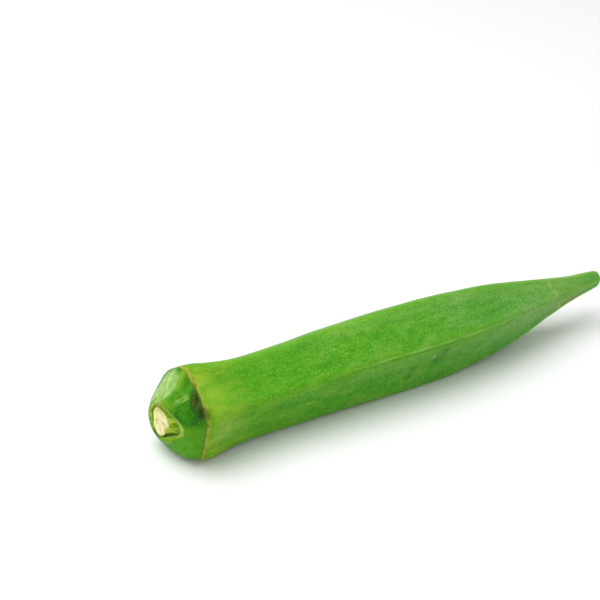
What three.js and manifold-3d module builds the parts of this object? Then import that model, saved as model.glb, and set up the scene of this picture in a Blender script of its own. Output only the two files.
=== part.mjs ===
// One okra pod, as picked, lying on its side: the cut stem, the rounded cap, the calyx scar, and the
// five-ridged pod down to its blunt tip. It grew as one piece, so it is one solid.
// Millimetres, +Z up. +X runs along the pod from the cut stem to the tip, and the pod rests on z = 0.
// A "station" is a distance along the pod from the middle of the cut, and a "bearing" an angle round its
// axis, in degrees, from 0 on the -Y side through 90 on top.
import * as THREE from "three";
import { mergeVertices } from "three/addons/utils/BufferGeometryUtils.js";
import Module from "manifold-3d";

const POD_LENGTH = 138;
const NOSE_LENGTH = 2; // the rounded end of the tip

// The calyx scar, the raised line where the cap meets the pod.
const SCAR_STATION = 7.5;
const SCAR_HEIGHT = 0.35;
const SCAR_WIDTH = 0.6;

// Each station, with the distance from the pod's axis to its ridges.
const GIRTH = [
  [0.5, 6.2],
  [1.2, 7.3],
  [2.5, 9],
  [4.5, 10.8],
  [6.2, 11.9],
  [7.5, 12.4],
  [10, 12.5],
  [15, 11.65],
  [22, 11.05],
  [38, 11.35],
  [58, 12.05],
  [76, 12.2],
  [88, 11.4],
  [98, 10.2],
  [108, 8.2],
  [118, 5.7],
  [127, 3.8],
  [138, 2.3],
];

// Each station, with the height of the pod's axis. The cap and the pod's belly both touch z = 0.
const AXIS_HEIGHT = [
  [0, 10.1],
  [8, 10.4],
  [28, 10.15],
  [53, 10.55],
  [83, 10.3],
  [110, 10.85],
  [138, 12],
];

// Each station, with the bearings of the five ridges. The last two are underneath.
const RIDGE_BEARINGS = [
  [0, 20, 93, 161, 230, 310],
  [8, 20.5, 93, 161, 230, 310],
  [22, 22, 91.5, 161, 232, 308],
  [43, 24, 90, 162, 233.5, 306.5],
  [88, 22.5, 90, 162, 233.5, 306.5],
  [138, 20.5, 90, 162, 233.5, 306.5],
];

// Each station, with how sharply the section turns at its ridges: at 3 it is round, and at 14 it has five
// nearly flat faces.
const SHARPNESS = [
  [0, 3],
  [2, 4],
  [4.5, 5],
  [8, 7],
  [22, 14],
  [104, 14],
  [118, 8],
  [138, 6],
];

// The cut stem: a core inside a sleeve of skin, with a crevice between them.
const CORE_RADIUS = 3.85;
const CREVICE_WIDTH = 0.8;
const CREVICE_DEPTH = 1.6;
const SLEEVE_THICKNESS = 1;
const SLEEVE_SET_BACK = 0.2; // the sleeve's edge lies this far behind the cut face

// The cut is slanted: towards this bearing it lies further back, by this share of the distance from the axis.
// The slant dies out over the cap.
const CUT_SLANT = 0.22;
const CUT_SLANT_BEARING = 8;
const CUT_SLANT_REACH = 6;

// The cap leans: it is fuller towards this bearing and slacker away from it, by this share of its radius. The
// lean dies out between these stations.
const CAP_LEAN = 0.15;
const CAP_LEAN_BEARING = 305;
const CAP_LEAN_FADE = [2, 6];

// The gap torn in the sleeve, as a ball that bites it away and leaves the core.
const TEAR_RADIUS = 2.7;
const TEAR_STATION = 0.9;
const TEAR_OFF_AXIS = 5.9;
const TEAR_BEARING = 8;

const FLATTENING = 0.12; // how much the pod's weight flattens it where it touches

const SEGMENTS_AROUND = 72;
const CAP_ROWS = 8;
const BODY_ROWS = 38;
const NOSE_ROWS = 4;
const CUTTER_OVERRUN = 3; // how far a cutter reaches past what it cuts

const wasm = await Module();
wasm.setup();

// Rows of a position and its values, as a function from any position to the values there.
function curveThrough(rows, Interpolant) {
  const positions = rows.map(([position]) => position);
  const values = rows.flatMap(([, ...rowValues]) => rowValues);
  const curve = new Interpolant(positions, values, rows[0].length - 1);
  const [first, last] = [positions[0], positions.at(-1)];
  return (position) => [...curve.evaluate(THREE.MathUtils.clamp(position, first, last))];
}

const girthAt = curveThrough(GIRTH, THREE.CubicInterpolant);
const axisHeightAt = curveThrough(AXIS_HEIGHT, THREE.CubicInterpolant);
const ridgeBearingsAt = curveThrough(RIDGE_BEARINGS, THREE.CubicInterpolant);
const sharpnessAt = curveThrough(SHARPNESS, THREE.LinearInterpolant);

// The ridges' distance from the axis, with the scar's bead and the rounded nose.
function ridgeRadius(station) {
  const [girth] = girthAt(station);
  const scar = SCAR_HEIGHT * Math.exp(-(((station - SCAR_STATION) / SCAR_WIDTH) ** 2));
  const intoNose = Math.max(0, 1 - (POD_LENGTH - station) / NOSE_LENGTH);
  return (girth + scar) * Math.sqrt(1 - intoNose ** 2);
}

// The section's radius at a bearing, as a share of the ridges'. Each face between two ridges says how far
// it would let the radius reach, and the sharper the section, the more the nearest face decides alone.
function sectionShare(station, bearing) {
  const ridges = ridgeBearingsAt(station);
  const [sharpness] = sharpnessAt(station);
  const nextRidges = [...ridges.slice(1), ridges[0] + 360];
  const closeness = ridges.map((ridge, face) => {
    const middle = THREE.MathUtils.degToRad((ridge + nextRidges[face]) / 2);
    const halfAngle = THREE.MathUtils.degToRad((nextRidges[face] - ridge) / 2);
    const towardFace = Math.cos(THREE.MathUtils.degToRad(bearing) - middle);
    return Math.max(0, towardFace / Math.cos(halfAngle)) ** sharpness;
  });
  const total = closeness.reduce((sum, value) => sum + value);
  return (2 / total) ** (1 / sharpness);
}

// How much the cap's lean changes the skin's radius.
function capLean(station, bearing) {
  const fade = 1 - THREE.MathUtils.smoothstep(station, ...CAP_LEAN_FADE);
  return 1 + CAP_LEAN * fade * Math.cos(THREE.MathUtils.degToRad(bearing - CAP_LEAN_BEARING));
}

// The point at a radius and bearing round the pod's axis.
function pointRound(station, radius, bearing) {
  const angle = THREE.MathUtils.degToRad(bearing);
  const [axisHeight] = axisHeightAt(station);
  return [station, -radius * Math.cos(angle), axisHeight + radius * Math.sin(angle)];
}

// A station on the skin or the cut, moved along the pod by the cut's slant.
function slanted(station, radius, bearing) {
  const offSlant = THREE.MathUtils.degToRad(bearing - CUT_SLANT_BEARING);
  const fade = 1 - THREE.MathUtils.smoothstep(station, 0, CUT_SLANT_REACH);
  return station + fade * CUT_SLANT * radius * Math.cos(offSlant);
}

// The stations of the rows of points along the skin, closer together at the scar and the nose.
function skinStations() {
  const spread = (from, to, rows) =>
    Array.from({ length: rows }, (_, row) => THREE.MathUtils.lerp(from, to, row / rows));
  const [firstStation] = GIRTH[0];
  const scarStart = SCAR_STATION - 1.5 * SCAR_WIDTH;
  const scarEnd = SCAR_STATION + 1.5 * SCAR_WIDTH;
  const nose = POD_LENGTH - NOSE_LENGTH;
  return [
    ...spread(firstStation, scarStart, CAP_ROWS),
    scarStart,
    SCAR_STATION,
    ...spread(scarEnd, nose, BODY_ROWS),
    ...spread(0, Math.PI / 2, NOSE_ROWS).map((turn) => nose + NOSE_LENGTH * Math.sin(turn)),
  ];
}

// The cut stem's profile, as [radius, station] pairs from the middle of the core to the sleeve's edge.
function stemProfile() {
  const sleeveInside = CORE_RADIUS + CREVICE_WIDTH;
  return [
    [0, 0],
    [CORE_RADIUS, 0],
    [CORE_RADIUS, CREVICE_DEPTH],
    [sleeveInside, CREVICE_DEPTH],
    [sleeveInside + SLEEVE_THICKNESS / 3, SLEEVE_SET_BACK],
    [sleeveInside + SLEEVE_THICKNESS, SLEEVE_SET_BACK],
  ];
}

// The pod as a lathed profile, whose rows are then shaped to the five-sided section and lifted to the
// axis's height. The cut stem doesn't lean with the cap.
function podGeometry() {
  const stem = stemProfile();
  const skin = skinStations().map((station) => [ridgeRadius(station), station]);
  const profile = [...stem, ...skin, [0, POD_LENGTH]];
  const points = profile.map(([radius, station]) => new THREE.Vector2(radius, station));
  const pod = new THREE.LatheGeometry(points, SEGMENTS_AROUND).rotateZ(-Math.PI / 2);
  const positions = pod.getAttribute("position");
  for (let i = 0; i < positions.count; i++) {
    const [station, y, z] = [positions.getX(i), positions.getY(i), positions.getZ(i)];
    const bearing = THREE.MathUtils.radToDeg(Math.atan2(z, -y));
    const lean = i % profile.length < stem.length ? 1 : capLean(station, bearing);
    const radius = Math.hypot(y, z) * sectionShare(station, bearing) * lean;
    positions.setXYZ(i, ...pointRound(slanted(station, radius, bearing), radius, bearing));
  }
  return pod;
}

// The ball that tears the sleeve, without the core that it leaves.
function tearSolid() {
  const ball = new THREE.SphereGeometry(TEAR_RADIUS, 24, 16);
  ball.translate(...pointRound(TEAR_STATION, TEAR_OFF_AXIS, TEAR_BEARING));
  const coreLength = 2 * (TEAR_RADIUS + CUTTER_OVERRUN);
  const core = new THREE.CylinderGeometry(CORE_RADIUS, CORE_RADIUS, coreLength, SEGMENTS_AROUND);
  core.rotateZ(Math.PI / 2).translate(...pointRound(0, 0, 0));
  return solidOf(ball).subtract(solidOf(core));
}

// Everything below the surface, with the flattening taken off the pod too.
function floorSolid() {
  const [length, width] = [POD_LENGTH + 2 * CUTTER_OVERRUN, 4 * ridgeRadius(SCAR_STATION)];
  const slab = new THREE.BoxGeometry(length, width, 2 * CUTTER_OVERRUN);
  return solidOf(slab.translate(POD_LENGTH / 2, 0, FLATTENING - CUTTER_OVERRUN));
}

// A closed geometry as a manifold-3d solid.
function solidOf(geometry) {
  geometry.deleteAttribute("normal");
  geometry.deleteAttribute("uv");
  const merged = mergeVertices(geometry, 1e-4);
  const mesh = new wasm.Mesh({
    numProp: 3,
    vertProperties: merged.getAttribute("position").array,
    triVerts: new Uint32Array(merged.index.array),
  });
  return new wasm.Manifold(mesh);
}

// A manifold-3d solid as a geometry.
function geometryOf(solid) {
  const { vertProperties, triVerts } = solid.getMesh();
  const geometry = new THREE.BufferGeometry();
  geometry.setAttribute("position", new THREE.BufferAttribute(vertProperties, 3));
  geometry.setIndex(new THREE.BufferAttribute(triVerts, 1));
  return geometry;
}

// Puts the origin at the middle of the pod's box, on the surface that it rests on.
function centreOnFloor(geometry) {
  geometry.computeBoundingBox();
  const { min, max } = geometry.boundingBox;
  geometry.translate(-(min.x + max.x) / 2, -(min.y + max.y) / 2, -min.z);
  geometry.computeVertexNormals();
  return geometry;
}

function okraPod() {
  const solid = solidOf(podGeometry()).subtract(tearSolid()).subtract(floorSolid());
  const skin = new THREE.MeshStandardMaterial({ color: 0x4fa028, roughness: 0.5, metalness: 0 });
  const pod = new THREE.Mesh(centreOnFloor(geometryOf(solid)), skin);
  pod.name = "okra_pod";
  return pod;
}

const okra = new THREE.Group();
okra.add(okraPod());

export default okra;
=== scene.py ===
"""One okra pod, as picked, lying on its side on a pale floor.

The skin is one closed mesh, from the middle of the cut stem, down the crevice round its core, over the lip
of the sleeve and the cap, past the calyx scar and along the five-ridged pod to its tip. A velvet of short
hairs stands on it. Lengths are in millimetres until a mesh is made, and then in metres.

A "station" is a distance along the pod from the cut, and a "bearing" an angle round its axis, in degrees,
from 0 on the -Y side through 90 on top.
"""

import itertools
import math

import bpy
import numpy as np
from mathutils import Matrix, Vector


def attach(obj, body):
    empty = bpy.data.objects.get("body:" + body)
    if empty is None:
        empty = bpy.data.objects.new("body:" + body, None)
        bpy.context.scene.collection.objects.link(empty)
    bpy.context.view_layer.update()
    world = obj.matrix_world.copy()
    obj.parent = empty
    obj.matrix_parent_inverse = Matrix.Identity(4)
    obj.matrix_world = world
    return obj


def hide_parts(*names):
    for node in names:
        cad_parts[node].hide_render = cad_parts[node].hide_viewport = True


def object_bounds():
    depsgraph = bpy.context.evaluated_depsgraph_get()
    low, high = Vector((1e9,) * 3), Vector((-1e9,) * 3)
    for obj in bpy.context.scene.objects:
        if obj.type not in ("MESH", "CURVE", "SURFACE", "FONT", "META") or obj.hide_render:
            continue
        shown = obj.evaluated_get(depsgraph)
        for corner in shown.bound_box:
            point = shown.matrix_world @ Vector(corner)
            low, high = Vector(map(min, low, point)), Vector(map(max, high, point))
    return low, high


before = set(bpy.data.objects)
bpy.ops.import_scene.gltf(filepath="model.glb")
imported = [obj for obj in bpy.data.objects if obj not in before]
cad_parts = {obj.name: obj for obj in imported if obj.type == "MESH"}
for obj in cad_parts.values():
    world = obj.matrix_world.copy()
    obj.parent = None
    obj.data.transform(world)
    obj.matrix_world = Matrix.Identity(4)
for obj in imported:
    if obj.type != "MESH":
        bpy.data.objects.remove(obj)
cad_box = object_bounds()

MM = 0.001
POD_NODE = "okra_pod"
SURFACE_MAP = "OFBake"  # the name of each mesh's map of its surface

# ---------------------------------------------------------------------------------------------------------
# Driving dimensions. As far as the cap's lean they match the CAD pod's, but for the first two girths,
# which only the skin here needs.

POD_LENGTH = 138
NOSE_LENGTH = 2
FACES = 5

# Each station, with the distance from the pod's axis to its ridges.
GIRTH = [
    (-0.2, 4.6),
    (0.1, 5.4),
    (0.5, 6.2),
    (1.2, 7.3),
    (2.5, 9),
    (4.5, 10.8),
    (6.2, 11.9),
    (7.5, 12.4),
    (10, 12.5),
    (15, 11.65),
    (22, 11.05),
    (38, 11.35),
    (58, 12.05),
    (76, 12.2),
    (88, 11.4),
    (98, 10.2),
    (108, 8.2),
    (118, 5.7),
    (127, 3.8),
    (138, 2.3),
]

# Each station, with the height of the pod's axis.
AXIS_HEIGHT = [(0, 10.1), (8, 10.4), (28, 10.15), (53, 10.55), (83, 10.3), (110, 10.85), (138, 12)]
FLATTENING = 0.12  # how much the pod's weight flattens it where it touches the floor

# Each station, with the bearings of the five ridges. The last two are underneath.
RIDGE_BEARINGS = [
    (0, 20, 93, 161, 230, 310),
    (8, 20.5, 93, 161, 230, 310),
    (22, 22, 91.5, 161, 232, 308),
    (43, 24, 90, 162, 233.5, 306.5),
    (88, 22.5, 90, 162, 233.5, 306.5),
    (138, 20.5, 90, 162, 233.5, 306.5),
]

# Each station, with how sharply the section turns at its ridges: 3 is round, and 14 has nearly flat faces.
SHARPNESS = [(0, 3), (2, 4), (4.5, 5), (8, 7), (22, 14), (104, 14), (118, 8), (138, 6)]

# The stem was cut at a slant: the cut lies further back towards this bearing, by this share of the distance
# from the axis. The slant dies out over the cap.
CUT_SLANT = 0.22
CUT_SLANT_BEARING = 8
CUT_SLANT_REACH = 6

# The cap leans: it is fuller towards this bearing and slacker away from it, by this share of its radius.
# The lean dies out between these stations.
CAP_LEAN = 0.15
CAP_LEAN_BEARING = 305
CAP_LEAN_FADE = (2, 6)

# The cut stem. For each bearing, four places from the core's rim out to the sleeve of skin round it, as
# pairs of a distance from the axis and a depth behind the cut: the core's rim, the foot of the core's side,
# the sleeve's foot and the sleeve's lip. From -20 to 50 degrees the sleeve is torn away from the core.
STEM_RIM = [
    (0, 3.3, 0.0, 5.9, 1.4, 6.2, 1.5, 7.5, 0.9),
    (20, 3.7, 0.0, 5.95, 1.35, 6.2, 1.35, 7.2, 0.75),
    (40, 3.9, 0.0, 5.1, 0.8, 5.3, 0.8, 5.9, 0.35),
    (60, 4.0, 0.0, 4.3, 0.2, 4.5, 0.2, 4.9, 0.0),
    (85, 4.1, 0.0, 4.25, 0.05, 4.35, 0.05, 4.6, -0.05),
    (110, 3.9, 0.0, 4.0, 0.15, 4.15, 0.15, 4.45, 0.0),
    (135, 3.15, 0.0, 3.25, 0.7, 3.5, 0.7, 3.85, 0.0),
    (160, 2.65, 0.0, 2.7, 1.1, 2.95, 1.1, 3.25, 0.0),
    (185, 2.5, 0.0, 2.55, 1.3, 2.8, 1.3, 3.1, 0.0),
    (210, 2.85, 0.0, 2.9, 1.4, 3.15, 1.4, 3.45, 0.1),
    (240, 3.8, 0.0, 3.85, 1.7, 4.0, 1.7, 4.25, 0.25),
    (265, 4.1, 0.0, 4.15, 1.9, 4.3, 1.9, 4.55, 0.25),
    (290, 3.6, 0.0, 3.8, 1.6, 4.1, 1.6, 4.35, 0.15),
    (310, 3.0, 0.0, 3.8, 1.3, 4.05, 1.4, 4.35, 0.3),
    (330, 2.8, 0.0, 4.3, 1.4, 4.6, 1.6, 4.9, 0.6),
    (345, 2.9, 0.0, 5.1, 1.4, 5.5, 1.6, 6.1, 0.85),
]
LIP_THICKNESS = 0.35
FLESH_DEPTH = 1.6  # how deep the core's side goes

# On the cut face, the directions across and down the core's fibres.
ACROSS_FIBRES = (0, -0.91, 0.41)
DOWN_FIBRES = (0, -0.41, -0.91)

# Rows of the mesh on the cut stem: over the core, down its side, across the crevice, up the sleeve's inside
# and over its lip.
CORE_ROWS = 16
SIDE_ROWS = 10
CREVICE_ROWS = 4
SLEEVE_ROWS = 8
LIP_ROWS = 6
STEM_PARTS = (CORE_ROWS, SIDE_ROWS, CREVICE_ROWS, SLEEVE_ROWS, LIP_ROWS)
STEM_ROWS = sum(STEM_PARTS)

# The scar that the calyx left round the pod: each bearing, with the scar's station.
SCAR_LINE = [
    (0, 7.35),
    (26, 7.9),
    (60, 8.25),
    (90, 7.85),
    (135, 7.7),
    (180, 7.5),
    (230, 7.3),
    (280, 7.0),
    (322, 7.0),
]
SCAR_STATION = 7.5

# Where the cap's edge has lifted off the pod, the hollow beside the scar: for each bearing, how far past the
# scar its middle lies, and its width along the pod.
HOLLOW_MIDDLE = [(24, -1.2), (46, -1.75), (82, -0.4)]
HOLLOW_WIDTH = [(24, 1.0), (46, 1.2), (82, 0.4)]

# The fold on the cap: each station, with the fold's bearing.
CAP_FOLD = [(0.3, 91), (1.4, 81), (2.8, 79), (4.5, 80), (6.2, 87), (7.2, 90)]

# The crease's pale colour is a painted highlight.
CREASE_BEARING = 58.7  # a pale crease runs along the cap here, beside the core

CREST_PLACE = 0.22  # how far past each ridge its thin crest lies, round the skin
TOP_RIDGE_BEARING = 91  # the crest is fainter along the top ridge

GRAIN_RADIUS = 10  # of the straight cylinder in which the skin's grain is laid out

# A scratch across the pod near its tip: each bearing, with the scratch's station.
SCRATCH = [(-40, 121.3), (10, 119.1), (48, 118.7), (69, 118.2), (102, 118.8)]

# Small dark marks, pale ones and faint dusky patches: each station, with the mark's bearing and width.
DARK_MARKS = [(45.1, -4, 0.6), (66.3, -22, 1.0), (74.1, 1, 1.1), (77.1, 12, 0.7), (95.8, -43, 0.9)]
PALE_MARKS = [(36.4, -11, 0.35), (46.1, 60, 0.35), (73.2, 7, 0.5)]
DUSKY_PATCHES = [(67.3, -16, 1.8), (76.4, 4, 2.7)]

# The velvet. It is sparser on the cap, and longer and denser on the -Y side where the pod narrows.
HAIR_LENGTH = 0.6
HAIR_THICKNESS = 0.045
HAIR_SUNK = 0.05  # how deep a hair's root goes into the skin
HAIR_COUNT = 45000  # before those near the floor are left out
HAIR_SEED = 5
HAIR_LEAN = (0.35, 0, 0)  # towards the tip
HAIR_SPREAD = 0.35  # how much the hairs' directions differ
ROOTS_ABOVE = 0.4  # hairs with a root or a tip lower than these heights are left out
TIPS_ABOVE = 0.1

# The camera, as a station, a distance to the side and a height, with its heading from +X and its dip.
CAMERA_PLACE = (-83.0, -221.7, 188.2)
CAMERA_HEADING = 61.154
CAMERA_DIP = 31.471
LENS = 72
FILM_WIDTH = 36

# The stage, in metres and watts. Each light has its place, its size and its power, and faces the origin.
LIGHTS = {"key": ((-0.22, 0.2, 0.75), 0.9, 6.3), "fill": ((-0.5, -0.5, 0.4), 0.5, 0.7)}
WORLD_STRENGTH = 0.5
FLOOR_SIZE = 12
FLOOR_COLOUR = (0.9, 0.9, 0.9, 1)
NEAREST_SEEN = 0.01

COLUMNS_PER_FACE = 45
RIDGE_CROWDING = 0.4  # how much closer together the mesh's columns lie at the ridges
# Rows of the mesh along the skin, as the station where each stretch ends and how many rows it has.
SKIN_STRETCHES = [(6.1, 60), (9, 46), (22, 44), (126, 188), (POD_LENGTH - NOSE_LENGTH, 18)]
NOSE_ROWS = 8


# ---------------------------------------------------------------------------------------------------------
# Curves and noise

def smooth_curve(rows, at):
    """The values at the positions at, on a smooth curve through rows of a position and its values."""
    rows = np.asarray(rows, float)
    places, values = rows[:, 0], rows[:, 1:]
    slopes = np.diff(values, axis=0) / np.diff(places)[:, None]
    tangents = np.concatenate([slopes[:1], (slopes[1:] + slopes[:-1]) / 2, slopes[-1:]])
    at = np.clip(at, places[0], places[-1])
    i = np.clip(np.searchsorted(places, at, side="right") - 1, 0, len(places) - 2)
    span = (places[i + 1] - places[i])[..., None]
    t = (at - places[i])[..., None] / span
    near = (1 + 2 * t) * (1 - t) ** 2 * values[i] + t * (1 - t) ** 2 * span * tangents[i]
    far = t * t * (3 - 2 * t) * values[i + 1] + t * t * (t - 1) * span * tangents[i + 1]
    return near + far


def bearing_curve(rows, bearings):
    """The values at the bearings, on a smooth closed curve through rows of a bearing and its values."""
    rows = np.asarray(rows, float)
    turn = np.zeros(rows.shape[1])
    turn[0] = 360
    closed = np.concatenate([rows[-2:] - turn, rows, rows[:2] + turn])
    return smooth_curve(closed, np.mod(bearings - rows[0, 0], 360) + rows[0, 0])


def smooth_step(low, high, x):
    t = np.clip((x - low) / (high - low), 0, 1)
    return t * t * (3 - 2 * t)


def bump(x, centre, width):
    """A smooth bump of height 1 at centre, which has nearly died out at twice width from it."""
    return np.exp(-(((x - centre) / width) ** 2))


def bearing_bump(bearings, centre, width):
    return bump(np.mod(bearings - centre + 180, 360) - 180, 0, width)


def noise(points, seed):
    """Smooth noise from -1 to 1 at points, with features about one unit across."""
    size = 48
    table = np.random.default_rng(seed).uniform(-1, 1, (size,) * 3)
    cell = np.floor(points).astype(int)
    t = points - cell
    t = t * t * t * (t * (6 * t - 15) + 10)
    total = 0
    for corner in itertools.product((0, 1), repeat=3):
        weight = np.prod(np.where(corner, t, 1 - t), axis=-1)
        total = total + weight * table[tuple(np.moveaxis((cell + corner) % size, -1, 0))]
    return total


# ---------------------------------------------------------------------------------------------------------
# The pod's shape

def ridge_radius(stations):
    girth = smooth_curve(GIRTH, stations)[..., 0]
    into_nose = np.clip(1 - (POD_LENGTH - stations) / NOSE_LENGTH, 0, 1)
    return girth * np.sqrt(1 - into_nose**2)


def section_share(stations, bearings):
    """The section's radius at each bearing, as a share of the ridges', as in the CAD pod."""
    ridges = smooth_curve(RIDGE_BEARINGS, stations)
    following = np.concatenate([ridges[..., 1:], ridges[..., :1] + 360], -1)
    middle = np.radians((ridges + following) / 2)
    half_angle = np.radians((following - ridges) / 2)
    sharpness = np.interp(stations, *np.transpose(SHARPNESS))
    reach = np.cos(np.radians(bearings)[..., None] - middle) / np.cos(half_angle)
    total = (np.maximum(0, reach) ** sharpness[..., None]).sum(-1)
    return (2 / total) ** (1 / sharpness)


def skin_radius(stations, bearings):
    """The skin's distance from the axis."""
    fade = 1 - smooth_step(*CAP_LEAN_FADE, stations)
    lean = 1 + CAP_LEAN * fade * np.cos(np.radians(bearings - CAP_LEAN_BEARING))
    return ridge_radius(stations) * section_share(stations, bearings) * lean


def slanted(stations, radii, bearings):
    """Stations moved along the pod by the cut's slant."""
    fade = 1 - smooth_step(0, CUT_SLANT_REACH, stations)
    return stations + fade * CUT_SLANT * radii * np.cos(np.radians(bearings - CUT_SLANT_BEARING))


def points_round(stations, radii, bearings):
    """Points at a station, radius and bearing, in millimetres from the cut's middle on the floor."""
    angles = np.radians(bearings)
    height = smooth_curve(AXIS_HEIGHT, stations)[..., 0] - FLATTENING
    return np.stack([stations, -radii * np.cos(angles), height + radii * np.sin(angles)], -1)


def column_places():
    """How far round the pod each column of the mesh lies, in faces: 0 on the first ridge, 1 on the next."""
    even = np.arange(COLUMNS_PER_FACE) / COLUMNS_PER_FACE
    crowded = even - RIDGE_CROWDING * np.sin(2 * math.pi * even) / (2 * math.pi)
    return np.concatenate([face + crowded for face in range(FACES)])


def bearings_at(stations, places):
    """The bearings at the places round the pod, where the ridges are at whole numbers."""
    ridges = smooth_curve(RIDGE_BEARINGS, stations)
    ridges = np.concatenate([ridges, ridges[..., :1] + 360], -1)
    face = np.floor(places).astype(int)
    start = np.take_along_axis(ridges, face[..., None], -1)[..., 0]
    end = np.take_along_axis(ridges, face[..., None] + 1, -1)[..., 0]
    return start + (places - face) * (end - start)


def ring_points(bearings):
    """Points at the bearings on a circle of radius 1."""
    angles = np.radians(bearings)
    return np.stack([np.cos(angles), np.sin(angles), np.zeros_like(angles)], -1)


def stem_rows(places):
    """Stations, radii and bearings of the rows over the core, down and up the crevice, and over the lip."""
    bearings = bearings_at(np.zeros_like(places), places)
    rim = bearing_curve(STEM_RIM, bearings)
    core, foot, sleeve_foot, lip = (rim[:, i : i + 2] for i in (0, 2, 4, 6))
    ring = ring_points(bearings)
    ragged = np.stack([noise(7 * ring, 41), 0.6 * noise(9 * ring, 42)], -1)
    ragged += 0.5 * noise(20 * ring, 43)[:, None]
    core, foot, lip = core + 0.1 * ragged, foot + 0.15 * ragged, lip + 0.14 * ragged
    edge_radius = np.maximum(lip[:, 0] + LIP_THICKNESS, skin_radius(GIRTH[0][0] + 0 * bearings, bearings))
    edge = np.stack([edge_radius, cap_stations(edge_radius, places)], -1)
    corners = [0 * core, core, foot, sleeve_foot, lip, edge]
    rows = []
    for start, end, count in zip(corners, corners[1:], STEM_PARTS):
        rows += [start + (end - start) * t for t in np.linspace(0, 1, count + 1)[1:]]
    rows = np.stack(rows)
    rounded = slice(CORE_ROWS, -1)
    for _ in range(2):
        rows[rounded] = (rows[CORE_ROWS - 1 : -2] + 2 * rows[rounded] + rows[CORE_ROWS + 1 :]) / 4
    return rows[..., 1], rows[..., 0], np.broadcast_to(bearings, rows.shape[:2])


def cap_stations(radii, places):
    """The station on the cap where the skin has that radius, for each column of the mesh."""
    stations = np.linspace(GIRTH[0][0], SCAR_STATION, 400)[:, None] + 0 * places
    reach = skin_radius(stations, bearings_at(stations, np.broadcast_to(places, stations.shape)))
    return np.array([np.interp(radius, reach[:, i], stations[:, i]) for i, radius in enumerate(radii)])


def skin_rows(places, first_stations):
    """Stations, radii and bearings of the rows over the cap and the pod, after the lip's last row."""
    stations = []
    start = first_stations
    for end, count in SKIN_STRETCHES:
        stations += [start + (end - start) * t for t in np.linspace(0, 1, count + 1)[1:]]
        start = np.full_like(first_stations, end)
    for turn in np.linspace(0, math.pi / 2, NOSE_ROWS + 1)[1:-1]:
        stations.append(start + NOSE_LENGTH * math.sin(turn))
    stations = np.stack(stations)
    bearings = bearings_at(stations, np.broadcast_to(places, stations.shape))
    return stations, skin_radius(stations, bearings), bearings


def grid_normals(points):
    """Outward unit normals of a grid of points whose columns close on themselves."""
    along = np.gradient(points, axis=0)
    around = np.roll(points, -1, 1) - np.roll(points, 1, 1)
    normals = np.cross(around, along)
    return normals / np.maximum(np.linalg.norm(normals, axis=-1, keepdims=True), 1e-9)


# ---------------------------------------------------------------------------------------------------------
# The skin's relief, and the masks that its material reads

def past_ridge(places, radii):
    """The distance round the skin from the nearest ridge to each place, negative before the ridge."""
    return (places - np.round(places)) * radii * 2 * math.pi / FACES


def scar_line(bearings):
    """The scar's station at each bearing: it wanders a little."""
    ring = ring_points(bearings)
    wander = 0.1 * noise(4 * ring, 11) + 0.07 * noise(11 * ring, 12)
    return bearing_curve(SCAR_LINE, bearings)[..., 0] + wander


def grain_points(stations, places):
    """Points in which the pod is a straight cylinder, so that the grain runs with its ridges."""
    around = places * 2 * math.pi / FACES
    return np.stack([stations, GRAIN_RADIUS * np.cos(around), GRAIN_RADIUS * np.sin(around)], -1)


def from_minus_90(bearings):
    """The same bearings, given from -90 to 270 degrees."""
    return np.mod(bearings + 90, 360) - 90


def beside_fold(stations, bearings, radii):
    """The distance round the cap from the fold that runs from the core's top to the top ridge."""
    fold = np.interp(stations, *np.transpose(CAP_FOLD))
    return np.radians(bearings - fold) * radii


def skin_relief(points, stations, bearings, places, radii, past_lip):
    """How far each point of the skin stands out from the smooth pod."""
    grain = grain_points(stations, places)
    beside_ridge = past_ridge(places, radii)
    on_pod = smooth_step(8, 11, stations)
    on_cap = (1 - smooth_step(6.4, 7.4, stations)) * smooth_step(0.3, 1.2, stations)
    taper = 1 - 0.7 * smooth_step(112, 136, stations)

    # broad dents all over, and on the pod its streaks, fine bumps and the crest along each ridge
    relief = 0.10 * noise(points / 9, 1) + 0.05 * noise(points / 4, 2)
    streaks = noise(grain / (6, 1.1, 1.1), 3)
    relief += on_pod * taper * (0.018 * streaks + 0.016 * noise(points / 0.9, 4))
    crest_height = (0.07 + 0.04 * noise(grain / (5, 3, 3), 5)) * smooth_step(20, 60, stations)
    crest_height *= 1 - 0.6 * bearing_bump(bearings, TOP_RIDGE_BEARING, 15)
    crest = bump(beside_ridge, CREST_PLACE, 0.3) - 0.3 * bump(beside_ridge, CREST_PLACE - 0.85, 0.45)
    relief += on_pod * taper * crest_height * crest

    # the scar: a bead, with a groove on each side and the hollow under the cap's lifted edge
    beside_scar = stations - scar_line(bearings)
    bead_height = 0.2 + 0.14 * noise(grain / (1.6, 1.0, 1.0), 6)
    relief += bead_height * bump(beside_scar, 0, 0.4)
    relief -= 0.16 * bump(beside_scar, -0.85, 0.55)
    relief -= 1.15 * scar_hollow(beside_scar, bearings)
    relief -= 0.06 * bump(beside_scar, 0.9, 0.4)

    # the cap's fold, ridges, wrinkles and crease, and the rolled edge of the torn lip
    off_fold = beside_fold(stations, bearings, radii)
    fold = 0.34 * bump(off_fold, 1.0, 1.4)
    fold = fold - 0.36 * bump(off_fold, -1.4, 1.3) * smooth_step(1.2, 3, stations)
    wrinkles = 0.10 * noise(points / 2.2, 7) + 0.05 * noise(grain / (2.4, 0.6, 0.6), 9)
    relief += on_cap * (0.12 * bump(beside_ridge, 0, 0.9) + fold + wrinkles + 0.03 * noise(points / 0.8, 8))
    creases = noise(grain / (2.2, 0.8, 0.8), 10)
    relief += on_cap * wrinkled(stations, bearings) * (0.12 + 0.07 * creases)
    relief += 0.1 * cap_crease(stations, bearings, radii)
    relief += 0.42 * bearing_bump(bearings, 4, 26) * bump(past_lip, 0.15, 0.45)
    return relief


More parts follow.
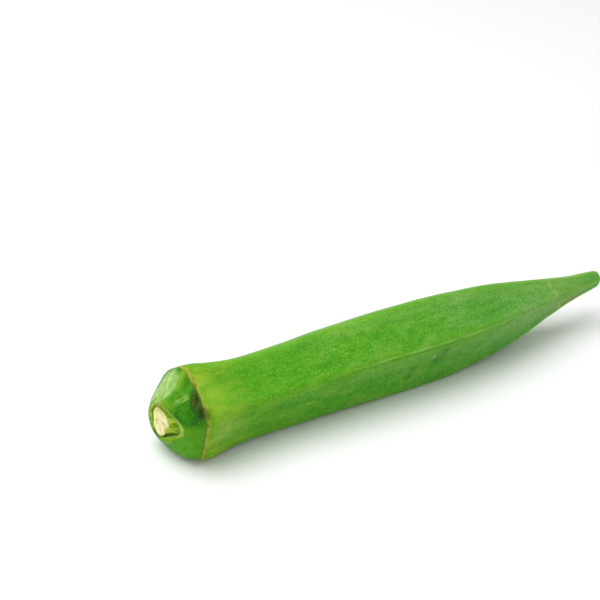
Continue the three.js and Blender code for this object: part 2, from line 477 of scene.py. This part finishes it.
def wrinkled(stations, bearings):
    """Where the cap is wrinkled, beside the core."""
    return bearing_bump(bearings, 59, 8) * bump(stations, 3.7, 1.8)


def cap_crease(stations, bearings, radii):
    beside_crease = np.radians(bearings - CREASE_BEARING) * radii
    return bump(beside_crease, 0, 0.4) * bump(stations, 3.5, 1.7)


def scar_hollow(beside_scar, bearings):
    """How hollow the cap is beside the scar: a wedge on the -Y side, and a shallower dip on the other."""
    turned = from_minus_90(bearings)
    middle, width = (np.interp(turned, *np.transpose(rows)) for rows in (HOLLOW_MIDDLE, HOLLOW_WIDTH))
    wedge = smooth_step(20, 30, turned) * smooth_step(73, 50, turned) * bump(beside_scar, middle, width)
    return wedge + 0.4 * bearing_bump(bearings, 200, 22) * bump(beside_scar, -0.8, 0.6)


def marked_at(marks, stations, bearings, radii):
    """A mask of small round marks."""
    total = 0
    for station, bearing, width in marks:
        around = np.radians(np.mod(bearings - bearing + 180, 360) - 180) * radii
        total = total + bump(np.hypot(stations - station, around), 0, width)
    return np.minimum(1, total)


def skin_masks(points, stations, bearings, places, radii, past_lip):
    """The masks that the skin's material reads, each from 0 to 1."""
    grain = grain_points(stations, places)
    beside_ridge = past_ridge(places, radii)
    beside_scar = stations - scar_line(bearings)
    off_fold = beside_fold(stations, bearings, radii)
    turned = from_minus_90(bearings)
    ragged = 0.5 + 0.5 * noise(grain / (0.8, 0.5, 0.5), 21)
    patchy = smooth_step(-0.5, 0.4, noise(points / (4, 1.5, 1.5), 22))
    crest_length = smooth_step(38, 66, stations) * (1 - smooth_step(97, 104, stations))
    crest_length *= 1 - 0.75 * bearing_bump(bearings, TOP_RIDGE_BEARING, 15)
    lobe = smooth_step(0.2, 1.7, off_fold + 0.6 * noise(points / 1.6, 24))
    lobe *= 1 - smooth_step(7, 11, off_fold)
    lobe_start = 0.8 * smooth_step(96, 114, turned)
    lobe *= smooth_step(0.15 + lobe_start, 1.0 + 1.3 * lobe_start, past_lip)
    lobe_end = 1 - smooth_step(-3.4, -0.6, beside_scar + 0.5 * noise(points / 1.5, 23))
    scratch = bump(stations, np.interp(turned, *np.transpose(SCRATCH)), 0.16)
    shoulder = smooth_step(51, 66, turned) * smooth_step(150, 120, turned)
    beside_collar = smooth_step(98, 112, turned) * smooth_step(255, 235, turned)
    underside = 1 - smooth_step(10, 22, turned) * (1 - smooth_step(160, 172, turned))
    browned = bearing_bump(bearings, 330, 16) + 0.6 * bearing_bump(bearings, 160, 20)
    limy = bearing_bump(bearings, 22, 8) * bump(beside_scar, 1.3, 1.1)
    limy += bearing_bump(bearings, 90, 9) * bump(beside_scar, 0.9, 0.9)
    narrowing = smooth_step(119, 129, stations)
    return {
        "crest": bump(beside_ridge, CREST_PLACE, 0.23) * crest_length,
        "crest_shadow": bump(beside_ridge, CREST_PLACE - 0.6, 0.32) * crest_length,
        "ridge_haze": bump(beside_ridge, -2.6, 1.3) * smooth_step(30, 55, stations) * (1 - narrowing),
        "soft_ridge": bump(beside_ridge, 0, 1.6) * smooth_step(8.5, 11, stations) * (1 - narrowing),
        "scar": bump(beside_scar, 0.0, 0.46 + 0.28 * bearing_bump(bearings, 86, 16)) * (0.6 + 0.4 * ragged),
        "scar_edge": bump(beside_scar, -0.42, 0.34) * (0.6 + 0.4 * ragged),
        "young": np.exp(-np.maximum(0, beside_scar) / 8.5) * (beside_scar > -0.1),
        "limy": np.minimum(1, limy),
        "sunny": bearing_bump(bearings, 48, 22) * bump(stations, 12, 3.2),
        "scar_dark_spot": bearing_bump(bearings, 28, 6) * bump(beside_scar, 0.3, 0.75),
        "dark_marks": marked_at(DARK_MARKS, stations, bearings, radii),
        "pale_marks": marked_at(PALE_MARKS, stations, bearings, radii),
        "dusky": marked_at(DUSKY_PATCHES, stations, bearings, radii),
        "neck_haze": bearing_bump(bearings, 356, 17) * bump(stations, 13, 3.2),
        "cap": 1 - smooth_step(-0.5, 0.1, beside_scar),
        "lobe": lobe * lobe_end,
        "shoulder": shoulder * smooth_step(0.6, 2, past_lip),
        "deep": bearing_bump(bearings, 29, 9),
        "hollow": smooth_step(0.02, 0.95, scar_hollow(beside_scar, bearings)),
        "wrinkled": wrinkled(stations, bearings),
        "crease": cap_crease(stations, bearings, radii),
        "underside": underside,
        "far": smooth_step(40, 125, stations),
        "near": bump(stations, 27, 11) * (1 - underside),
        "browned": np.minimum(1, browned) * bump(stations, 124.5, 4.5) * (0.4 + 0.6 * patchy),
        "tip_heart": bearing_bump(bearings, 50, 22) * smooth_step(126, 134, stations),
        "tip_olive": smooth_step(112, 121, stations) * (1 - smooth_step(129, 135, stations)),
        "tip_sides": (bearing_bump(bearings, 95, 14) + bearing_bump(bearings, 12, 14)) * narrowing,
        "shade": bump(stations, 95, 7) * bearing_bump(bearings, 52, 20),
        "hairy": bump(stations, 109, 11) * bearing_bump(bearings, 14, 34),
        "scratch": scratch * (turned > -45) * (turned < 102) * (1 - 0.5 * smooth_step(5, 50, turned)),
        "near_lip": 1 - smooth_step(0.5, 1.4, past_lip),
        "flake": bump(past_lip, 0.7, 0.5) * bearing_bump(bearings, 112, 13),
        "fold_band": bump(off_fold, 0, 1.2) * smooth_step(3.4, 4.8, stations),
        "fold_foot": bump(off_fold, 0.2, 0.7) * (1 - smooth_step(0.5, 2.6, past_lip)),
        "fold_side": bump(off_fold, -1.5, 2) * (1 - smooth_step(1.2, 3.4, past_lip)),
        "beside_collar": beside_collar * smooth_step(1.8, 0.5, past_lip),
    }


# ---------------------------------------------------------------------------------------------------------
# Meshes

def in_row_frame(points):
    """Points in millimetres from the cut's middle on the floor, in metres in the row's frame."""
    tip_station = cad_box[1].x / MM
    return (np.asarray(points) + (tip_station - POD_LENGTH, 0, 0)) * MM


def mesh_object(name, points, faces, corner_places):
    """A smooth-shaded object of points in millimetres from the cut's middle.

    faces lists the points at each face's corners, and corner_places where each corner of each face, in
    turn, lies on a map of the whole surface from 0 to 1.
    """
    mesh = bpy.data.meshes.new(name)
    mesh.from_pydata(in_row_frame(points).tolist(), [], faces)
    mesh.uv_layers.new(name=SURFACE_MAP).data.foreach_set("uv", corner_places.astype(np.float32).ravel())
    mesh.shade_smooth()
    ob = bpy.data.objects.new(name, mesh)
    bpy.context.scene.collection.objects.link(ob)
    return ob


def set_attribute(mesh, name, values):
    kind = "FLOAT" if values.ndim == 1 else "FLOAT_VECTOR"
    attribute = mesh.attributes.new(name, kind, "POINT")
    attribute.data.foreach_set("value" if values.ndim == 1 else "vector", values.astype(np.float32).ravel())


def grid_faces(rows, columns):
    """Faces of a grid of points whose columns close on themselves, with a point before and one after it.

    Returns the faces and the places of their corners on a map of the grid, from 0 to 1.
    """
    row, column = (grid.ravel() for grid in np.mgrid[1:rows, 0:columns])
    across = np.arange(columns)
    corners = [
        [(0, across + 0.5), (1, across + 1), (1, across)],
        [(row, column), (row, column + 1), (row + 1, column + 1), (row + 1, column)],
        [(rows, across), (rows, across + 1), (rows + 1, across + 0.5)],
    ]
    faces, corner_places = [], []
    for group in corners:
        shape = group[0][1].shape
        r, c = (np.stack([np.broadcast_to(corner[i], shape) for corner in group], -1) for i in (0, 1))
        points = 1 + (r - 1) * columns + c % columns
        points = np.where(r == 0, 0, np.where(r > rows, rows * columns + 1, points))
        faces += points.astype(int).tolist()
        corner_places.append(np.stack([r / (rows + 1), c / columns], -1).reshape(-1, 2))
    return faces, np.concatenate(corner_places)


def row_masks(rows):
    """Masks by row of the mesh: the core, its fleshy side, the crevice, the sleeve, the lip and the skin."""
    ends = np.cumsum(STEM_PARTS) - 1
    past = [smooth_step(end - 0.2, end + 1.5, rows) for end in ends]
    names = ("core", "flesh", "crevice", "sleeve", "lip", "skin")
    started = [np.ones_like(past[0]), *past]
    ended = [*past, np.zeros_like(past[0])]
    return {name: start * (1 - end) for name, start, end in zip(names, started, ended)}


def fibre_points(points, core):
    """Points whose first number runs along the fibres: down the core's face, and back along its side."""
    down, across, back = points @ DOWN_FIBRES, points @ ACROSS_FIBRES, points[..., 0]
    face = np.stack([down * 0.3, across * 1.5, back], -1)
    side = np.stack([back * 0.4, down * 1.4, 20 + 0 * back], -1)
    return np.where(core[..., None] > 0.5, face, side)


def stem_masks(points, stations, bearings, rows):
    """The masks that only the cut stem's colours read, each from 0 to 1."""
    from_middle = points - points_round(np.zeros(()), 0, 0)
    across, down = from_middle @ ACROSS_FIBRES, from_middle @ DOWN_FIBRES
    rind = bearing_bump(bearings, 335, 35) + 0.75 * bearing_bump(bearings, 98, 28)
    rusty = bearing_bump(bearings, 243, 14) + bearing_bump(bearings, 72, 30)
    return {
        "heart": bump(across + 0.22 * down, 0.15, 0.85) * bump(down, 0.3, 3),
        "split": bump(across - 0.62 * down, 1.27, 0.3) * bump(down, 0.55, 0.7),
        "rind": rind * smooth_step(0.45, 1, rows / CORE_ROWS),
        "depth": np.clip(stations / FLESH_DEPTH, 0, 1),
        "collar": smooth_step(115, 140, bearings) * (1 - smooth_step(225, 250, bearings)),
        "curled": bearing_bump(bearings, 2, 27),
        "bright_lip": bearing_bump(bearings, 12, 16),
        "fresh_lip": bearing_bump(bearings, 48, 18),
        "fold_top": bearing_bump(bearings, 97, 13),
        "rusty": np.minimum(1, rusty),
    }


def skin_object():
    """The whole skin as one closed mesh, with its masks and grain as attributes."""
    places = column_places()
    stem = stem_rows(places)
    skin = skin_rows(places, stem[0][-1])
    stations, radii, bearings = (np.concatenate(pair) for pair in zip(stem, skin))
    places = np.broadcast_to(places, stations.shape)
    rows = np.arange(len(stations))[:, None] + 0.0 * stations
    masks = row_masks(rows)
    past_lip = np.hypot(radii - stem[1][-LIP_ROWS - 1], 0.7 * (stations - stem[0][-LIP_ROWS - 1]))
    past_lip = np.where(rows < len(stem[0]) - LIP_ROWS, 0, past_lip)

    points = points_round(slanted(stations, radii, bearings), radii, bearings)
    normals = grid_normals(points)
    fibres = fibre_points(points, masks["core"])
    relief = masks["skin"] * skin_relief(points, stations, bearings, places, radii, past_lip)
    relief += (1 - masks["skin"]) * stem_relief(points, fibres, masks)
    points = points + relief[..., None] * normals
    points[..., 2] = np.maximum(points[..., 2], 0)

    masks |= skin_masks(points, stations, bearings, places, radii, past_lip)
    masks |= stem_masks(points, stations, bearings, rows)
    first = points[0].mean(0, keepdims=True)
    last = points_round(np.array(POD_LENGTH), 0, 0)[None]
    vertices = np.concatenate([first, points.reshape(-1, 3), last])
    ob = mesh_object("okra_pod_skin", vertices, *grid_faces(*stations.shape))
    for name, values in masks.items():
        ends = np.concatenate([[values[0].mean()], values.ravel(), [values[-1].mean()]])
        set_attribute(ob.data, name, ends)
    for name, values in (("grain", grain_points(stations, places)), ("fibres", fibres)):
        ends = [values[:1].mean(1), values.reshape(-1, 3), values[-1:].mean(1)]
        set_attribute(ob.data, name, np.concatenate(ends))
    return ob, points, normals, masks


def stem_relief(points, fibres, masks):
    """The fibrous relief of the cut core, and the torn sleeve's roughness."""
    strands = noise(fibres, 31) + 0.5 * noise(fibres * 2.3, 32)
    fibrous = 0.16 * masks["core"] + 0.14 * masks["flesh"]
    return fibrous * strands + 0.05 * (1 - masks["core"]) * noise(points / 0.5, 33)


def hair_object(points, normals, masks):
    """The velvet: short tapering hairs on the skin, each a closed spike, leaning towards the tip."""
    count = HAIR_COUNT
    rng = np.random.default_rng(HAIR_SEED)
    rows = slice(STEM_ROWS + 2, -NOSE_ROWS)
    at, normal = points[rows], normals[rows]
    corners = [at[:-1], np.roll(at, -1, 1)[:-1], np.roll(at, -1, 1)[1:], at[1:]]
    area = np.linalg.norm(np.cross(corners[2] - corners[0], corners[3] - corners[1]), axis=-1) / 2
    hairy, cap = masks["hairy"][rows][:-1].ravel(), masks["cap"][rows][:-1].ravel()
    share = area.ravel() * (1 + hairy) * (1 - 0.75 * cap)
    cell = rng.choice(share.size, count, p=share / share.sum())
    u, v = rng.random((2, count, 1))
    a, b, c, d = (corner.reshape(-1, 3)[cell] for corner in corners)
    root = (1 - u) * ((1 - v) * a + v * d) + u * ((1 - v) * b + v * c)
    normal = normal[:-1].reshape(-1, 3)[cell]
    length = HAIR_LENGTH * (0.45 + 0.75 * rng.random((count, 1))) * (1 + hairy[cell, None])
    lean = np.array(HAIR_LEAN) + HAIR_SPREAD * rng.normal(size=(count, 3))
    direction = normal + lean - (lean * normal).sum(-1, keepdims=True) * normal
    direction /= np.linalg.norm(direction, axis=-1, keepdims=True)
    tip = root + length * direction
    clear = (root[:, 2] > ROOTS_ABOVE) & (tip[:, 2] > TIPS_ABOVE)
    root, tip, direction, normal = root[clear], tip[clear], direction[clear], normal[clear]

    side = np.cross(direction, rng.normal(size=direction.shape))
    side /= np.linalg.norm(side, axis=-1, keepdims=True)
    other = np.cross(direction, side)
    root = root - HAIR_SUNK * normal
    ring = [
        root + HAIR_THICKNESS / 2 * (math.cos(turn) * side + math.sin(turn) * other)
        for turn in (0, math.tau / 3, 2 * math.tau / 3)
    ]
    vertices = np.stack([*ring, tip], 1).reshape(-1, 3)
    first = 4 * np.arange(len(root))[:, None]
    spike = np.array([[0, 1, 3], [1, 2, 3], [2, 0, 3], [0, 2, 1]])
    faces = (first[:, :, None] + spike).reshape(-1, 3)
    return mesh_object("okra_pod_velvet", vertices, faces.tolist(), spike_places(len(root)))


def spike_places(count):
    """Where the corners of each spike's four faces lie on a map of them all, each spike in its own cell."""
    cells_across = math.ceil(math.sqrt(count))
    corner = np.stack(np.divmod(np.arange(count), cells_across), -1)[:, None, None]
    triangle = np.array([[0.02, 0.05], [0.22, 0.05], [0.12, 0.9]])
    four = triangle + np.array([[0, 0], [0.25, 0], [0.5, 0], [0.75, 0]])[:, None]
    return ((corner + four) / cells_across).reshape(-1, 2)


# ---------------------------------------------------------------------------------------------------------
# Materials

def colour(code):
    """A web colour as a linear one."""
    channels = [int(code[i : i + 2], 16) / 255 for i in (0, 2, 4)]
    return (*(c / 12.92 if c <= 0.04045 else ((c + 0.055) / 1.055) ** 2.4 for c in channels), 1)


class Shader:
    """A material and short ways to add nodes to it."""

    def __init__(self, name):
        self.material = bpy.data.materials.new(name)
        self.material.use_nodes = True
        self.tree = self.material.node_tree
        self.surface = self.tree.nodes["Principled BSDF"]

    def add(self, kind, inputs=None, **settings):
        node = self.tree.nodes.new("ShaderNode" + kind)
        for setting, value in settings.items():
            setattr(node, setting, value)
        for name, value in (inputs or {}).items():
            self.put(node.inputs[name], value)
        return node

    def put(self, socket, value):
        if isinstance(value, bpy.types.NodeSocket):
            self.tree.links.new(value, socket)
        else:
            socket.default_value = value

    def math(self, operation, *values):
        node = self.add("Math", operation=operation)
        for socket, value in zip(node.inputs, values):
            self.put(socket, value)
        return node.outputs[0]

    def mask(self, name):
        return self.add("Attribute", attribute_name=name).outputs["Fac"]

    def share(self, value, most):
        return self.math("MULTIPLY", value, most)

    def rising(self, value, driver, rise, least):
        """value times an amount that goes from least, where driver is 0, to least + rise, where it is 1."""
        return self.math("MULTIPLY", value, self.math("MULTIPLY_ADD", driver, rise, least))

    def vector(self, name):
        return self.add("Attribute", attribute_name=name).outputs["Vector"]

    def grain(self, stretch):
        """Points in millimetres in which the pod is a straight cylinder, divided by stretch."""
        return self.add("VectorMath", {0: self.vector("grain"), 1: stretch}, operation="DIVIDE").outputs[0]

    def place(self, size):
        """Points on the object, counted in lengths of size millimetres."""
        vector = self.add("TexCoord").outputs["Object"]
        scale = 1 / (size * MM)
        return self.add("VectorMath", {0: vector, 1: (scale,) * 3}, operation="MULTIPLY").outputs[0]

    def noise(self, vector, detail=2.0, roughness=0.5, distortion=0.0):
        inputs = {"Vector": vector, "Scale": 1.0, "Detail": detail, "Roughness": roughness}
        return self.add("TexNoise", inputs | {"Distortion": distortion}).outputs["Fac"]

    def spots(self, spacing):
        """The distance to the nearest of points that lie about spacing millimetres apart, in spacings."""
        inputs = {"Vector": self.place(spacing), "Scale": 1.0}
        return self.add("TexVoronoi", inputs, feature="F1").outputs["Distance"]

    def between(self, value, low, high):
        """0 where value is below low, rising smoothly to 1 above high.

        Where low is above high, it is 1 below high and falls smoothly to 0 above low.
        """
        inputs = {"Value": value, "From Min": low, "From Max": high}
        return self.add("MapRange", inputs, interpolation_type="SMOOTHSTEP").outputs[0]

    def mix(self, share, first, second):
        node = self.add("Mix", data_type="RGBA")
        self.put(node.inputs[0], share)
        self.put(node.inputs[6], first)
        self.put(node.inputs[7], second)
        return node.outputs[2]

    def tinted(self, base, *layers):
        """The base colour under layers, each a mask's name, its share at most and a web colour."""
        for name, most, code in layers:
            base = self.mix(self.share(self.mask(name), most), base, colour(code))
        return base

    def flecked(self, base, value, *layers):
        """The base colour under layers of flecks.

        Each has the value where its flecks begin, the one where they are full, their share at most and a
        web colour.
        """
        for low, high, most, code in layers:
            base = self.mix(self.share(self.between(value, low, high), most), base, colour(code))
        return base


def pod_green(s, speckle):
    """The pod's greens: mottled along the grain, hazy and deep by turns, with pores, fine speckles and
    painted light and shade.
    """
    mottle = s.noise(s.grain((4, 2, 2)), detail=4, roughness=0.65)
    green = s.mix(s.between(mottle, 0.35, 0.65), colour("45980d"), colour("5aa416"))
    blotch = s.noise(s.grain((8, 3.4, 3.4)), detail=4, roughness=0.6, distortion=0.4)
    haze = s.rising(s.between(blotch, 0.48, 0.68), s.mask("far"), 0.3, 0.3)
    green = s.mix(haze, green, s.mix(s.mask("far"), colour("8ab646"), colour("86b26e")))
    green = s.flecked(green, blotch, (0.5, 0.32, 0.35, "2f880c"))
    streaks = s.noise(s.grain((9, 0.8, 0.8)), detail=3, roughness=0.6)
    green = s.flecked(green, streaks, (0.52, 0.72, 0.4, "80b83e"), (0.48, 0.28, 0.35, "317c0e"))
    tint = s.noise(s.place(3), detail=5, roughness=0.65)
    green = s.flecked(green, tint, (0.55, 0.72, 0.3, "8d9a48"))
    cool = s.rising(s.between(tint, 0.48, 0.3), s.mask("far"), 0.3, 0.13)
    green = s.mix(cool, green, colour("3c9244"))
    # painted shade: the lower faces are a darker green, in patches
    under = s.rising(s.mask("underside"), s.between(tint, 0.55, 0.4), 0.35, 0.12)
    green = s.mix(under, green, colour("22860a"))

    # painted green reflected light on the upper face near the stem
    green = s.tinted(green, ("near", 0.45, "349a0c"))

    # hazier towards the tip, most of all in a band before each ridge, with painted shade in one place
    green = s.tinted(
        green,
        ("far", 0.24, "6ea666"),
        ("ridge_haze", 0.19, "94b866"),
        ("shade", 0.3, "38882c"),
    )
    wisps = s.between(s.noise(s.grain((1.1, 2.4, 1.1)), detail=4, roughness=0.7), 0.42, 0.62)
    green = s.mix(s.rising(s.mask("hairy"), wisps, 0.45, 0.12), green, colour("9cba80"))

    green = s.flecked(green, speckle, (0.53, 0.68, 0.5, "84c858"), (0.47, 0.32, 0.55, "2a7010"))
    return s.flecked(green, s.spots(1.7), (0.17, 0.08, 0.2, "9ccc66"))


def marked(s, green):
    """The green with yellower skin beside the scar, painted light beside it, ridge lines with a painted
    highlight and shadow, a scratch, small marks and browning.
    """
    patchy = s.between(s.noise(s.grain((5, 2.2, 2.2)), detail=4, roughness=0.6), 0.35, 0.65)
    young = s.rising(s.mask("young"), patchy, 0.3, 0.55)
    green = s.mix(young, green, s.mix(patchy, colour("6ea406"), colour("a0ba2c")))
    # painted light brightens the upper face beside the scar
    green = s.tinted(green, ("sunny", 0.45, "9ccc3a"), ("limy", 0.75, "66a900"))
    wisps = s.between(s.noise(s.grain((1.2, 3, 1.2)), detail=4, roughness=0.7), 0.4, 0.6)
    green = s.mix(s.rising(s.mask("neck_haze"), wisps, 0.45, 0.2), green, colour("a8c85e"))
    green = s.tinted(green, ("soft_ridge", 0.2, "86ba34"))
    # a painted shadow beside each ridge's crest and a painted highlight along it, both broken
    broken = s.between(s.noise(s.grain((6, 0.7, 0.7)), detail=3), 0.38, 0.62)
    green = s.mix(s.rising(s.mask("crest_shadow"), broken, 0.35, 0.12), green, colour("2a6f12"))
    green = s.mix(s.rising(s.mask("crest"), broken, 0.5, 0.25), green, colour("94d264"))
    green = s.tinted(
        green,
        ("tip_olive", 0.2, "9aa860"),
        ("tip_heart", 0.4, "4a9a3a"),
        ("tip_sides", 0.45, "8ac44a"),
        ("scratch", 0.65, "c2dd96"),
    )
    smudges = s.between(s.noise(s.place(1.2), detail=3, roughness=0.6), 0.35, 0.6)
    green = s.mix(s.rising(s.mask("dusky"), smudges, 0.35, 0.1), green, colour("266022"))
    return s.tinted(
        green,
        ("dark_marks", 0.6, "265c1a"),
        ("pale_marks", 0.5, "b0dc7c"),
        ("browned", 0.55, "966c34"),
    )


def cap_green(s, speckle):
    """The cap's greens: deep and saturated, with painted highlights on its wrinkles and top lobe, and
    painted shade in the hollow beside the scar.
    """
    mottle = s.noise(s.place(3), detail=5, roughness=0.65)
    green = s.mix(s.between(mottle, 0.35, 0.68), colour("1b6200"), colour("3a8a03"))
    green = s.tinted(green, ("underside", 0.5, "66ae16"), ("shoulder", 0.36, "5ea80a"))
    flecks = s.noise(s.place(0.7), detail=4, roughness=0.65)
    green = s.flecked(green, flecks, (0.54, 0.7, 0.5, "64a81a"), (0.46, 0.32, 0.5, "155303"))
    creases = s.between(s.noise(s.grain((2.4, 0.7, 0.7)), detail=4, roughness=0.6), 0.42, 0.6)
    # painted highlights on the wrinkles beside the core and along the crease
    green = s.mix(s.math("MULTIPLY", s.mask("wrinkled"), s.share(creases, 0.85)), green, colour("8cc048"))
    green = s.mix(s.rising(s.mask("crease"), creases, 0.4, 0.4), green, colour("9ccb5c"))
    # a painted highlight on the cap's top lobe
    cap_noise = s.noise(s.place(1.5), detail=5, roughness=0.65)
    lobe_highlight = s.rising(s.mask("lobe"), s.between(cap_noise, 0.35, 0.65), 0.45, 0.5)
    green = s.mix(lobe_highlight, green, colour("aed07a"))
    green = s.flecked(green, speckle, (0.45, 0.3, 0.4, "2a6d0c"))
    green = s.tinted(
        green,
        ("fold_band", 0.5, "92b628"),
        ("fold_side", 0.6, "78ae1e"),
        ("fold_foot", 0.65, "989a3c"),
        ("beside_collar", 0.75, "7cb022"),
        ("flake", 0.6, "b8da84"),
    )
    # painted shade in the hollow beside the scar, darker still towards one end
    hollow_shade = s.mix(s.between(cap_noise, 0.42, 0.58), colour("163804"), colour("4a581c"))
    hollow_shade = s.tinted(hollow_shade, ("deep", 0.8, "1c4602"))
    return s.mix(s.mask("hollow"), green, hollow_shade)


def core_cream(s, fibres):
    """The cut core: cream with a warm middle, pale and brown fibres, a split drawn as a line of painted
    shade and a greener rind.
    """
    core = s.mix(s.mask("heart"), colour("eeeeaa"), colour("f5d0a0"))
    core = s.flecked(
        core,
        fibres,
        (0.52, 0.6, 0.85, "fffbe0"),
        (0.47, 0.4, 0.5, "d5d070"),
        (0.4, 0.33, 0.8, "a88a52"),
    )
    # painted shade along a split in the core
    core = s.tinted(core, ("split", 0.75, "94885a"))
    return s.mix(s.mask("rind"), core, colour("a9b840"))


def flesh_green(s, fibres):
    """The core's fleshy side, deeper green further down."""
    flesh = s.mix(s.mask("depth"), colour("a0c02c"), colour("468404"))
    pale = s.rising(s.between(fibres, 0.5, 0.58), s.mask("depth"), -0.4, 0.8)
    flesh = s.mix(pale, flesh, colour("b8d04c"))
    flesh = s.flecked(flesh, fibres, (0.48, 0.4, 0.8, "2f6c02"))
    return s.tinted(flesh, ("fresh_lip", 0.5, "5c9a06"))


def sleeve_green(s, streaky):
    """The inside of the sleeve of skin round the core."""
    sleeve = s.mix(streaky, colour("55800f"), colour("93ab3e"))
    return s.tinted(sleeve, ("curled", 0.8, "94ac38"), ("fresh_lip", 0.85, "5c9802"))


def lip_green(s, fibres, streaky):
    """The sleeve's lip: paler on the collar side, palest where it curls out, and rusty in two places."""
    lip = s.mix(streaky, colour("528a04"), colour("7aa622"))
    lip = s.mix(s.mask("collar"), lip, s.mix(streaky, colour("619603"), colour("a5c922")))
    bright = s.mix(streaky, colour("86b62c"), colour("b8da74"))
    lip = s.mix(s.share(s.mask("bright_lip"), 0.85), lip, bright)
    rust = s.mix(s.between(fibres, 0.4, 0.6), colour("3f6409"), colour("66640e"))
    lip = s.mix(s.share(s.mask("rusty"), 0.9), lip, rust)
    return s.tinted(lip, ("fresh_lip", 0.8, "4e9402"))


def cut_stem(s):
    """The cut stem, from its core through its fleshy side and a crevice in painted shade to the sleeve and
    its lip.
    """
    fibres = s.noise(s.vector("fibres"), detail=4, roughness=0.6)
    streaky = s.between(fibres, 0.35, 0.65)
    # painted shade in the crevice, lighter where the sleeve curls out and on the collar side
    crevice = s.mix(s.mask("curled"), colour("163f02"), colour("48840a"))
    crevice = s.mix(s.mask("collar"), crevice, colour("2f6004"))
    inside = s.mix(s.mask("flesh"), core_cream(s, fibres), flesh_green(s, fibres))
    inside = s.mix(s.mask("crevice"), inside, crevice)
    inside = s.mix(s.mask("sleeve"), inside, sleeve_green(s, streaky))
    inside = s.mix(s.mask("lip"), inside, lip_green(s, fibres, streaky))
    off_core = s.math("SUBTRACT", 1, s.mask("core"))
    return s.mix(s.math("MULTIPLY", s.mask("fold_top"), off_core), inside, colour("8c9834"))


def scarred(s, green):
    """The green with the scar's corky line: olive, with rusty specks, and darker along its edge."""
    rust = s.between(s.noise(s.grain((1.0, 1.6, 1.6)), detail=3, roughness=0.6), 0.45, 0.65)
    green = s.tinted(green, ("scar_edge", 0.85, "56600a"))
    cork = s.mix(rust, colour("9cac38"), colour("8c7026"))
    green = s.mix(s.share(s.between(s.mask("scar"), 0.1, 0.7), 0.85), green, cork)
    # a dark olive spot on the pod just past the scar
    return s.tinted(green, ("scar_dark_spot", 0.8, "4f620a"))


def skin_material():
    s = Shader("okra_skin")
    speckle = s.noise(s.place(0.6), detail=4, roughness=0.65)
    green = marked(s, pod_green(s, speckle))
    green = scarred(s, s.mix(s.mask("cap"), green, cap_green(s, speckle)))

    # dark spots, underneath only
    spotted = s.math("MULTIPLY", s.between(s.spots(5), 0.07, 0.03), s.share(s.mask("underside"), 0.6))
    green = s.mix(spotted, green, colour("33421a"))
    base = s.mix(s.mask("skin"), cut_stem(s), green)

    fine = s.noise(s.place(0.4), detail=3, roughness=0.6)
    inputs = {"Height": s.math("ADD", speckle, fine), "Distance": 0.09 * MM, "Strength": 0.8}
    normal = s.add("Bump", inputs).outputs["Normal"]

    surface = s.surface.inputs
    s.put(surface["Base Color"], base)
    s.put(surface["Normal"], normal)
    least_rough = s.math("MULTIPLY_ADD", s.mask("near_lip"), 0.4, 0.38)
    s.put(surface["Roughness"], s.math("MULTIPLY_ADD", fine, 0.25, least_rough))
    surface["Specular IOR Level"].default_value = 0.1
    surface["Subsurface Weight"].default_value = 0.12
    surface["Subsurface Radius"].default_value = (0.6, 1.0, 0.25)
    surface["Subsurface Scale"].default_value = 0.6 * MM
    surface["Sheen Weight"].default_value = 0.04
    surface["Sheen Roughness"].default_value = 0.4
    surface["Sheen Tint"].default_value = colour("dff0c0")
    return s.material


def velvet_material():
    s = Shader("okra_velvet")
    shade = s.noise(s.place(2), detail=2)
    surface = s.surface.inputs
    s.put(surface["Base Color"], s.mix(shade, colour("7db535"), colour("b0d66a")))
    surface["Roughness"].default_value = 0.6
    surface["Specular IOR Level"].default_value = 0.3
    return s.material


def floor_material():
    s = Shader("pale_floor")
    s.put(s.surface.inputs["Base Color"], FLOOR_COLOUR)
    s.surface.inputs["Roughness"].default_value = 0.7
    return s.material


# ---------------------------------------------------------------------------------------------------------
# The stage

def add_floor():
    bpy.ops.mesh.primitive_plane_add(size=FLOOR_SIZE)
    floor = bpy.context.object
    floor.name = "floor"
    floor.data.materials.append(floor_material())


def add_light(name, place, size, power):
    light = bpy.data.lights.new(name, "AREA")
    light.shape = "DISK"
    light.size = size
    light.energy = power
    ob = bpy.data.objects.new(name, light)
    ob.location = place
    ob.rotation_euler = (-ob.location).to_track_quat("-Z", "Y").to_euler()
    bpy.context.scene.collection.objects.link(ob)


def add_world():
    world = bpy.data.worlds.new("studio")
    world.use_nodes = True
    background = world.node_tree.nodes["Background"]
    background.inputs["Color"].default_value = (1, 1, 1, 1)
    background.inputs["Strength"].default_value = WORLD_STRENGTH
    bpy.context.scene.world = world


def add_camera():
    camera = bpy.data.cameras.new("camera")
    camera.lens = LENS
    camera.sensor_width = FILM_WIDTH
    camera.clip_start = NEAREST_SEEN
    ob = bpy.data.objects.new("camera", camera)
    ob.location = in_row_frame(CAMERA_PLACE)
    ob.rotation_euler = (math.radians(90 - CAMERA_DIP), 0, math.radians(CAMERA_HEADING - 90))
    bpy.context.scene.collection.objects.link(ob)
    bpy.context.scene.camera = ob


# ---------------------------------------------------------------------------------------------------------
# Putting it together

skin, skin_points, skin_normals, skin_masks_at = skin_object()
skin.data.materials.append(skin_material())
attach(skin, "root")
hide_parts(POD_NODE)

velvet = hair_object(skin_points, skin_normals, skin_masks_at)
velvet.data.materials.append(velvet_material())
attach(velvet, "root")

add_floor()
for light_name, (light_place, light_size, light_power) in LIGHTS.items():
    add_light(light_name, light_place, light_size, light_power)
add_world()
add_camera()
bpy.context.scene.view_settings.view_transform = "Standard"
